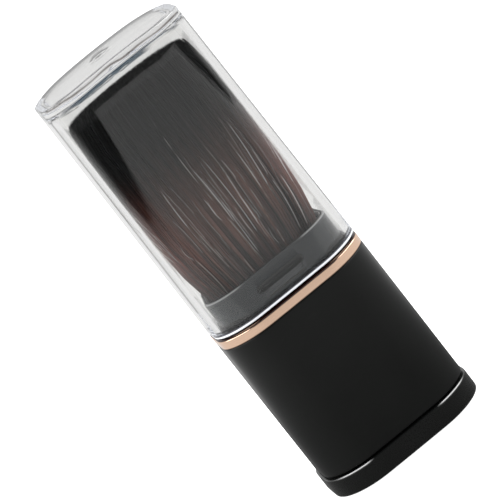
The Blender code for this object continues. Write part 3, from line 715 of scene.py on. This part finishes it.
def hair_roots(spacing, edge):
    """Jittered triangular grid of root points, an edge inside the root block's outline."""
    half_width = SLEEVE_HIGH.x - ROOT_INSET - edge
    half_depth = SLEEVE_HIGH.y - ROOT_INSET - edge
    corner = 0.0086
    rng = np.random.default_rng(11)
    # Rows stand closer than columns, by half the root of 3, so there are 1.16 times as many
    reach = (math.ceil(half_width / spacing), math.ceil(half_depth / spacing * 1.16))
    column, row = np.meshgrid(*(np.arange(-count, count + 1) for count in reach))
    x = (column + 0.5 * (row % 2)) * spacing
    y = row * spacing * math.sqrt(3) / 2
    points = np.stack([x, y], axis=-1).reshape(-1, 2)
    points += rng.uniform(-0.45, 0.45, points.shape) * spacing
    beyond = np.maximum(np.abs(points) - (half_width - corner, half_depth - corner), 0)
    return points[np.hypot(*beyond.T) < corner], (half_width, half_depth)


def spread(share):
    """How far the tuft has opened at a share of its height: 0 at the root, 1 at its fullest.

    It follows 1 - (1 - h/0.50)^2.2 up to the fullest place. Above 0.86 of the height it
    closes again by 0.36 ((h - 0.86)/0.14)^2.2.
    """
    below = 1 - np.clip(1 - share / 0.50, 0, 1) ** 2.2
    above = 0.36 * np.clip((share - 0.86) / 0.14, 0, 1) ** 2.2
    return below - above


def inside_cap(middle, margin):
    """Hold points back from the cap's narrow sides, where the hairs lie against it.

    x is cut to the half width between the drafted walls at the point's height, less a margin.
    """
    drawn_in = CAP_DRAFT * (middle[..., 2] - CAP_LOW.z) / (CAP_HIGH.z - CAP_LOW.z)
    reach = SLEEVE_HIGH.x - CAP_WALL - drawn_in - margin
    middle[..., 0] = np.clip(middle[..., 0], -reach, reach)
    return middle


def tube_mesh(name, middle, thick, tone, material):
    """Three sided hairs in one mesh: rings round each row of middle points, closed at both ends.

    middle is (hairs, levels, 3) and thick the radius at each level. The last level is the
    hair's pointed tip.
    """
    count, levels = middle.shape[:2]
    rings = levels - 1
    golden_angle = 2.399963
    turn = np.arange(3) * 2 * math.pi / 3 + (np.arange(count) * golden_angle)[:, None]
    ring = np.stack([np.cos(turn), np.sin(turn), np.zeros_like(turn)], axis=-1)
    tube = middle[:, :-1, None] + thick[:, :rings, None, None] * ring[:, None]
    per_hair = rings * 3 + 1
    points = np.concatenate([tube.reshape(count, -1, 3), middle[:, -1:]], axis=1)
    side = np.arange(3)
    after = (side + 1) % 3
    level = np.arange(rings - 1)[:, None] * 3
    quads = np.stack([level + side, level + after, level + 3 + after, level + 3 + side],
                     axis=-1).reshape(-1, 4)
    last = (rings - 1) * 3
    caps = np.concatenate([[[2, 1, 0]], np.column_stack([last + side, last + after,
                                                         np.full(3, per_hair - 1)])])
    base = (np.arange(count) * per_hair)[:, None, None]
    item = mesh_object(name, points.reshape(-1, 3), (base + quads).reshape(-1, 4),
                       (base + caps).reshape(-1, 3), material)
    tones = item.data.attributes.new("hair_tone", "FLOAT", "POINT")
    tones.data.foreach_set("value", np.repeat(tone, per_hair).astype(np.float32))
    return item


def hair_mesh(name, root, tip_share, radius, tone, lean, extent, material):
    """Dyed hairs of the tuft, each a tapering tube along its own curve.

    A hair's middle line at share h is its root times (1 + opening times spread(h)), plus a
    lean that grows with the square of h, at height h times the hair's length. It starts inside
    the resin, and is up to 1 mm longer in the tuft's middle than at its rim. The section keeps
    its radius to four fifths of the length and then narrows to a blunt tip.
    """
    sizes = bpy.context.scene.brush_sizes
    levels = np.array([0.0, 0.11, 0.24, 0.40, 0.60, 0.86, 0.975, 1.0])
    share = levels[None, :] * tip_share[:, None]
    opened = 1 + (TUFT_FULL / extent - 1) * spread(share)[..., None]
    from_middle = np.clip(((root / extent) ** 2).sum(1), 0, 1)
    tall = sizes.tuft_height + 0.0004 - 0.0010 * from_middle
    middle = np.empty((len(root), len(levels), 3))
    middle[..., :2] = root[:, None] * opened + lean[:, None] * share[..., None] ** 2
    middle[..., 2] = HOLDER_HIGH.z - 0.0006 + tall[:, None] * share
    thick = radius[:, None] * np.interp(levels, [0, 0.8, 1], [1, 1, 0.6])
    return tube_mesh(name, inside_cap(middle, 0.00012), thick, tone, material)


class BRUSH_OT_tuft(Operator):
    """Bristle tuft: resin root, thousands of tapering hairs and sparse light hairs."""

    bl_idname = "brush.tuft"
    bl_label = "Bristle tuft"

    def execute(self, context):
        sizes, colors = context.scene.brush_sizes, context.scene.brush_colors
        root, extent = hair_roots(sizes.hair_spacing, 0.0003)
        rng = np.random.default_rng(5)
        count = len(root)
        # Neighbouring hairs lean alike, so that the tuft falls into soft locks
        waves = rng.uniform(900, 2600, (6, 2)) * rng.choice([-1, 1], (6, 2))
        phase = (root @ waves.T) + rng.uniform(0, 6.28, 6)
        lock = np.column_stack([np.sin(phase[:, :3]).sum(1), np.sin(phase[:, 3:]).sum(1)]) / 3
        lean = 0.00022 * lock + rng.normal(0, 0.00011, (count, 2))
        # Three hairs in a hundred are shorter by a quarter
        tip_share = 1 - 0.006 * rng.random(count) ** 2 - 0.25 * (rng.random(count) < 0.03)
        radius = sizes.hair_radius * rng.uniform(0.75, 1.1, count)
        tone = np.clip(0.38 + 0.20 * np.sin(phase[:, 1] * 1.7) + rng.normal(0, 0.22, count), 0, 1)
        material = dyed_hair("hair_synthetic_dyed", colors.hair_root, colors.hair_side,
                             colors.hair_tip)
        middle = np.abs(root[:, 0]) < TUFT_MIDDLE
        parts = (
            ("hair_left", ~middle & (root[:, 0] < 0), "tuft_left"),
            ("hair_right", ~middle & (root[:, 0] > 0), "tuft_right"),
            ("hair_middle_front", middle & (root[:, 1] < 0), "tuft_center"),
            ("hair_middle_back", middle & (root[:, 1] >= 0), "tuft_center"),
        )
        made = []
        for name, mask, node in parts:
            item = hair_mesh(name, root[mask], tip_share[mask], radius[mask], tone[mask],
                             lean[mask], extent, material)
            place(item, "brush_core", [node], "synthetic_hair")
            made.append(item)
        made.append(self.light_hairs(sizes, colors, extent))
        for item in made:
            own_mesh(item)
        self.resin(colors)
        return {"FINISHED"}

    def light_hairs(self, sizes, colors, extent):
        """Sparse short light hairs that come to the tuft's surface over part of their length.

        Seen from the front, a hair runs up in a nearly straight line that leans outward. In
        depth it follows the tuft's surface, y = Y (1 - |x/X|^3.4)^(1/3.4), with X and Y the half
        sizes at its height, times 0.955 plus 0.055 times an arch over its own length.
        """
        rng = np.random.default_rng(23)
        count, steps = sizes.light_hairs, 10
        t = np.linspace(0, 1, steps)[None, :]
        rise = 0.07 + 0.38 * rng.random((count, 1)) ** 1.6
        share = rng.uniform(0.06, 0.40, (count, 1)) + rise * t
        half = extent * (1 + (TUFT_FULL / extent - 1) * spread(share)[..., None])
        start = rng.uniform(-0.93, 0.93, (count, 1))
        lean = (0.13 * start + rng.normal(0, 0.028, (count, 1))) * sizes.tuft_height * rise
        bow = rng.normal(0, 0.00025, (count, 1)) * np.sin(math.pi * t)
        x = start * half[:, :1, 0] + lean * t + bow
        x = np.clip(x, -0.975 * half[..., 0], 0.975 * half[..., 0])
        arch = 0.955 + 0.055 * np.sin(math.pi * t) ** 0.5
        y = half[..., 1] * (1 - np.abs(x / half[..., 0]) ** 3.4) ** (1 / 3.4) * arch
        y = y * rng.choice([-1, 1], (count, 1))
        middle = inside_cap(np.stack([x, y, HOLDER_HIGH.z + sizes.tuft_height * share], axis=-1),
                            0.00008)
        thick = 0.20 + 0.60 * rng.random((count, 1)) ** 2.5
        thick = sizes.hair_radius * thick * (1 - 0.5 * t ** 3)
        material = dyed_hair("hair_light_undyed", *[colors.hair_light] * 3)
        item = tube_mesh("hair_light_strays", middle, thick, rng.random(count), material)
        place(item, "brush_core", [], "synthetic_hair")
        return item

    def resin(self, colors):
        """Block of resin that the roots stand in, inside the holder."""
        low, high = HOLDER_HIGH.z - 0.0039, HOLDER_HIGH.z - 0.0002
        flat = ROOT_INSET + 0.003
        profile = closed_off(rounded([
            (flat, low, 0.0), (ROOT_INSET, low, 0.0003), (ROOT_INSET, high, 0.0003),
            (flat, high, 0.0)], closed=False))
        grid = around_body(profile, outline_template(12, 8, 5))
        item = grid_object("tuft_root_resin", grid, "poles",
                           bonded_resin("root_epoxy_cast", colors.resin))
        place(item, "brush_core", ["tuft_left", "tuft_center", "tuft_right"], "synthetic_hair")


class BRUSH_OT_cap(Operator):
    """Clear cap: thick drafted walls, domed top, gate mark and snap ridges."""

    bl_idname = "brush.cap"
    bl_label = "Clear cap"

    def execute(self, context):
        sizes, colors = context.scene.brush_sizes, context.scene.brush_colors
        # Lift and thickness of the top, inset of its flat part, and its inner rounding
        dome, roof, flat, inner_round = 0.00085, 0.0022, 0.0110, 0.0014
        bottom, top = CAP_LOW.z, CAP_HIGH.z - dome
        tall, ceiling = top - bottom, top - roof
        inner_top = CAP_DRAFT * (ceiling - bottom) / tall + CAP_WALL

        def drafted(wall, heights):
            """Profile corners at some heights on a wall that leans in by the draft."""
            return [(wall + CAP_DRAFT * (height - bottom) / tall, height, 0.0)
                    for height in heights]

        walls = rounded([
            (flat, ceiling, 0.0), (inner_top, ceiling, inner_round),
            *drafted(CAP_WALL, RIDGE_HEIGHT + np.linspace(0.0007, -0.0007, 15)),
            (CAP_WALL, bottom, 0.0004), (0.0, bottom, 0.0004),
            *drafted(0.0, top - np.linspace(0.0017, 0.0009, 9)),
            (CAP_DRAFT, top, 0.0005), (flat, top, 0.0),
        ], closed=False, steps=8)
        profile = closed_off(filled(walls, 3), 9)
        grid = around_body(profile, outline_template(28, 60, 12))
        x, y, z = (grid[..., k].copy() for k in range(3))
        # The top is domed along its width: the lift falls off with the square of x
        share = (z - bottom) / tall
        grid[..., 2] += dome * share * (1 - (x / SLEEVE_HIGH.x) ** 2)
        # Slow flow waves where the ceiling rounds into the walls, and weaker ones outside
        inner = np.arange(len(z))[:, None] < len(z) / 2
        wave = np.sin(520 * x + 210 * y + 1.3) + 0.7 * np.sin(-890 * x + 460 * y)
        wave += 0.5 * np.sin(1510 * x - 700 * y + 2.1)
        inset = profile[:, [0]]
        rounding = smooth_step(z, ceiling - inner_round, ceiling - inner_round / 2)
        rounding = rounding * (1 - smooth_step(inset, inner_top + 0.0009, inner_top + 0.0015))
        grid[..., 1] -= np.sign(y) * sizes.wall_wave * wave * rounding * inner
        slow = np.sin(330 * x + 0.8) + 0.6 * np.sin(-610 * x + 2.0)
        shoulder = smooth_step(z, top - 0.0016, top - 0.0009)
        shoulder = shoulder * (1 - smooth_step(inset, CAP_DRAFT + 0.0004, CAP_DRAFT + 0.0011))
        grid[..., 1] -= np.sign(y) * 0.35 * sizes.wall_wave * slow * shoulder * ~inner
        # A snap ridge inside each broad face: a soft hump, cos^2 across, with tapering ends
        half_long, ridge_rise = 0.0060, 0.00013
        from_end = half_long - np.abs(x)
        half_tall = 0.00070 * np.clip(from_end / 0.0020, 0.0, 1.0) ** 0.5 + 1e-6
        across = np.clip(np.abs(z - RIDGE_HEIGHT) / half_tall, 0, 1)
        hump = np.cos(across * math.pi / 2) ** 2 * smooth_step(from_end, 0, 0.0018)
        grid[..., 1] -= np.sign(y) * ridge_rise * hump * (inner & (z < ceiling - 0.01))
        # Round gate mark of the moulding on the outer top
        away = np.hypot(x + 0.0004, y - 0.0020)
        ring_radius, mark_depth = 0.0019, 0.00006
        mark = peak(away, ring_radius, 0.0004) - 0.8 * peak(away, 0, 0.0006)
        grid[..., 2] -= mark_depth * mark * (z > top - 0.0001)
        item = grid_object("clear_cap_moulding", grid, "poles",
                           clear_moulding("cap_acrylic_clear", colors.cap))
        # A dark line painted as shade under the top's front edge, and the zone of bluish streaks
        # painted as reflections inside it
        front = y < -0.008
        under = 0.0008 + 0.00035 * smooth_step(x, -0.001, 0.002)
        under = under - 0.0005 * smooth_step(-x, 0.0110, 0.0145)
        under = under + 0.00008 * np.sin(700 * x)
        strength = 1.2 + 0.3 * np.sin(420 * x + 1.0)
        painted_edge_line = np.minimum(strength * peak(top - z, under, 0.00022), 0.95)
        painted_edge_line = painted_edge_line * front * ~inner
        painted_streak_zone = smooth_step(z, ceiling - inner_round, ceiling - 0.0010)
        painted_streak_zone = painted_streak_zone * (z < ceiling + 0.00002)
        painted_streak_zone = painted_streak_zone * (inset < inner_top + 0.0016)
        painted_streak_zone = painted_streak_zone * smooth_step(x, -0.0165, -0.0130) * (1 - peak(x, 0.0100, 0.0030, 4))
        set_painted_shading(item, np.append(painted_edge_line - painted_streak_zone * front * inner, [0, 0]))
        place(item, "cap", ["clear_cap"], "clear_acrylic")
        return {"FINISHED"}


class BRUSH_OT_stage(Operator):
    """Pale floor, white surround, two soft lights and the camera."""

    bl_idname = "brush.stage"
    bl_label = "Stage"

    def execute(self, context):
        stage = context.scene.brush_stage
        context.scene.view_settings.view_transform = "Standard"
        # Light is led along the cap's walls over many reflections
        context.scene.cycles.max_bounces = 24
        context.scene.cycles.glossy_bounces = 16
        context.scene.cycles.transmission_bounces = 16
        self.surround(context, stage)
        self.floor(stage)
        self.lights(stage)
        self.camera(context, stage)
        return {"FINISHED"}

    def surround(self, context, stage):
        """White room. In gloss it is bright behind the brush and dark in front of it."""
        world = bpy.data.worlds.new("white_room")
        context.scene.world = world
        world.use_nodes = True
        tree = world.node_tree
        tree.nodes.clear()
        ray = add(tree, "SeparateXYZ", {"Vector": add(tree, "TexCoord").outputs["Generated"]})
        share = add(tree, "MapRange", {"Value": ray.outputs["Y"], "From Min": -1.0})
        ramp = add(tree, "ValToRGB", {"Fac": share}, stops=(
            (0.0, 0.03), (0.42, 0.04), (0.56, 0.05), (0.65, 0.60), (0.72, 0.80), (1.0, 0.75)))
        # The ceiling over the table is dark and bluish in gloss. Seen straight through the cap,
        # past its four surfaces, the room is pale all round
        overhead = add(tree, "MapRange", {"Value": ray.outputs["Z"], "From Min": 0.45,
                                          "From Max": 0.80}, interpolation_type="SMOOTHSTEP")
        path = add(tree, "LightPath").outputs
        through = add(tree, "Math", {0: path["Transmission Depth"], 1: 3.5},
                      operation="GREATER_THAN")
        gloss = layered(tree, ramp, (overhead, (0.06, 0.085, 0.12)),
                        (through, (0.76, 0.76, 0.76)))
        mirrored = add(tree, "Background", {"Color": gloss})
        strength = add(tree, "MapRange", {"Value": path["Is Camera Ray"], "To Min": stage.sky})
        plain = add(tree, "Background", {"Color": (1.0, 1.0, 1.0), "Strength": strength})
        mix = add(tree, "MixShader", {0: path["Is Glossy Ray"], 1: plain, 2: mirrored})
        add(tree, "OutputWorld", {"Surface": mix})

    def floor(self, stage):
        """Pale table, white to the camera. The cap's front wall mirrors its outline as a haze."""
        reach, height = 0.802, -0.0002
        turn = np.radians(np.linspace(-21, 58, 14))
        front = reach * np.column_stack([np.sin(turn), -np.cos(turn)])
        rest = [(0.63, -0.19), (0.54, 0.01), (0.56, 1.60), (-0.79, 1.60), (-0.455, -0.09),
                (-0.455, -0.24), (-0.405, -0.435)]
        outline = np.concatenate([front, rest])
        points = np.column_stack([outline, np.full(len(outline), height)])
        material, tree, coords = new_tree("table_white_acrylic")
        grain = add(tree, "TexNoise", {"Vector": coords, "Scale": 1 / 0.004, "Detail": 3.0})
        tone = layered(tree, shade(stage.floor_white, 0.985), (grain, stage.floor_white))
        matt = add(tree, "BsdfPrincipled", {"Base Color": tone, "Roughness": 0.8,
                                            "Specular IOR Level": 0.0})
        path = add(tree, "LightPath").outputs
        glow = add(tree, "Emission", {"Color": (1.0, 1.0, 1.0),
                                      "Strength": path["Is Camera Ray"]})
        lit = add(tree, "AddShader", {0: matt, 1: glow})
        # In gloss the table is bright, but for the brush's own shade close to its foot
        spot = add(tree, "SeparateXYZ", {"Vector": coords}).outputs
        share = add(tree, "MapRange", {"Value": spot["Y"], "From Min": -0.80,
                                       "From Max": 0.20})
        ramp = add(tree, "ValToRGB", {"Fac": share}, stops=(
            (0.0, 0.58), (0.30, 0.66), (0.50, 0.76), (0.52, 0.58), (0.57, 0.58),
            (0.60, 0.84), (1.0, 0.84)))
        away = add(tree, "VectorMath", {0: coords}, operation="LENGTH")
        open_air = add(tree, "MapRange", {"Value": away, "From Min": 0.08, "From Max": 0.16,
                                          "To Min": 0.24})
        # It fades towards its left edge, but not behind the brush
        left = add(tree, "MapRange", {"Value": spot["X"], "From Min": -0.455,
                                      "From Max": -0.35, "To Min": 0.35})
        behind = add(tree, "MapRange", {"Value": spot["Y"], "From Max": 0.08})
        inward = add(tree, "Math", {0: left, 1: behind}, operation="MAXIMUM")
        black = (0.0, 0.0, 0.0)
        gloss = layered(tree, black, (inward, layered(tree, black, (open_air, ramp))))
        mirrored = add(tree, "Emission", {"Color": gloss})
        both = add(tree, "MixShader", {0: path["Is Glossy Ray"], 1: lit, 2: mirrored})
        add(tree, "OutputMaterial", {"Surface": both})
        mesh = bpy.data.meshes.new("floor")
        mesh.from_pydata(points.tolist(), [], [tuple(range(len(points)))])
        mesh.materials.append(material)
        put("floor", mesh)

    def lights(self, stage):
        """Two soft boxes, one at each side."""
        for name, side in (("soft_left", -1), ("soft_right", 1)):
            light = bpy.data.lights.new(name, "AREA")
            light.shape = "RECTANGLE"
            light.size, light.size_y = 0.90, 0.36
            light.energy = stage.softbox
            item = put(name, light)
            item.location = (side * 0.5985, -0.042, 0.34)
            toward = Vector((0, 0, 0.05)) - item.location
            item.rotation_euler = toward.to_track_quat("-Z", "Y").to_euler()
            item.visible_camera = False
            item.visible_transmission = False

    def camera(self, context, stage):
        """Camera at the distance and angles, turned about its own axis by the roll."""
        az, el, roll = stage.azimuth, stage.elevation, stage.roll
        toward = Vector((math.sin(az) * math.cos(el), -math.cos(az) * math.cos(el),
                         math.sin(el)))
        right = Vector((math.cos(az), math.sin(az), 0))
        up = toward.cross(right)
        x_axis = right * math.cos(roll) - up * math.sin(roll)
        y_axis = right * math.sin(roll) + up * math.cos(roll)
        eye = Vector((0, 0, stage.aim_height)) + toward * stage.distance
        eye += -x_axis * stage.slide_x + y_axis * stage.slide_y
        data = bpy.data.cameras.new("camera")
        data.sensor_width = 36
        data.lens = stage.focal
        data.clip_start, data.clip_end = 0.01, 50
        turn = Matrix((x_axis, y_axis, toward)).transposed().to_4x4()
        item = put("camera", data)
        item.matrix_world = Matrix.Translation(eye) @ turn
        context.scene.camera = item


PIECES = (BRUSH_OT_base, BRUSH_OT_sleeve, BRUSH_OT_ring, BRUSH_OT_collar, BRUSH_OT_inner,
          BRUSH_OT_tuft, BRUSH_OT_cap, BRUSH_OT_stage)


class BRUSH_PT_panel(Panel):
    """Panel with the brush's sizes, colours and pieces."""

    bl_label = "Retractable makeup brush"
    bl_idname = "BRUSH_PT_panel"
    bl_space_type = "VIEW_3D"
    bl_region_type = "UI"
    bl_category = "Brush"

    def draw(self, context):
        for piece in PIECES:
            self.layout.operator(piece.bl_idname)
        for group in (context.scene.brush_sizes, context.scene.brush_colors,
                      context.scene.brush_stage):
            box = self.layout.box()
            for key in group.bl_rna.properties.keys():
                if key not in ("rna_type", "name"):
                    box.prop(group, key)


CLASSES = (BrushSizes, BrushColors, StageSettings, *PIECES, BRUSH_PT_panel)


def register():
    """Register the classes and hang the settings on the scene."""
    for item in CLASSES:
        bpy.utils.register_class(item)
    bpy.types.Scene.brush_sizes = PointerProperty(type=BrushSizes)
    bpy.types.Scene.brush_colors = PointerProperty(type=BrushColors)
    bpy.types.Scene.brush_stage = PointerProperty(type=StageSettings)


def unregister():
    """Undo what register did."""
    for key in ("brush_sizes", "brush_colors", "brush_stage"):
        delattr(bpy.types.Scene, key)
    for item in reversed(CLASSES):
        bpy.utils.unregister_class(item)


def main():
    """Build every piece and the stage."""
    register()
    for piece in PIECES:
        getattr(bpy.ops.brush, piece.bl_idname.split(".")[1])()


if __name__ == "__main__":
    main()
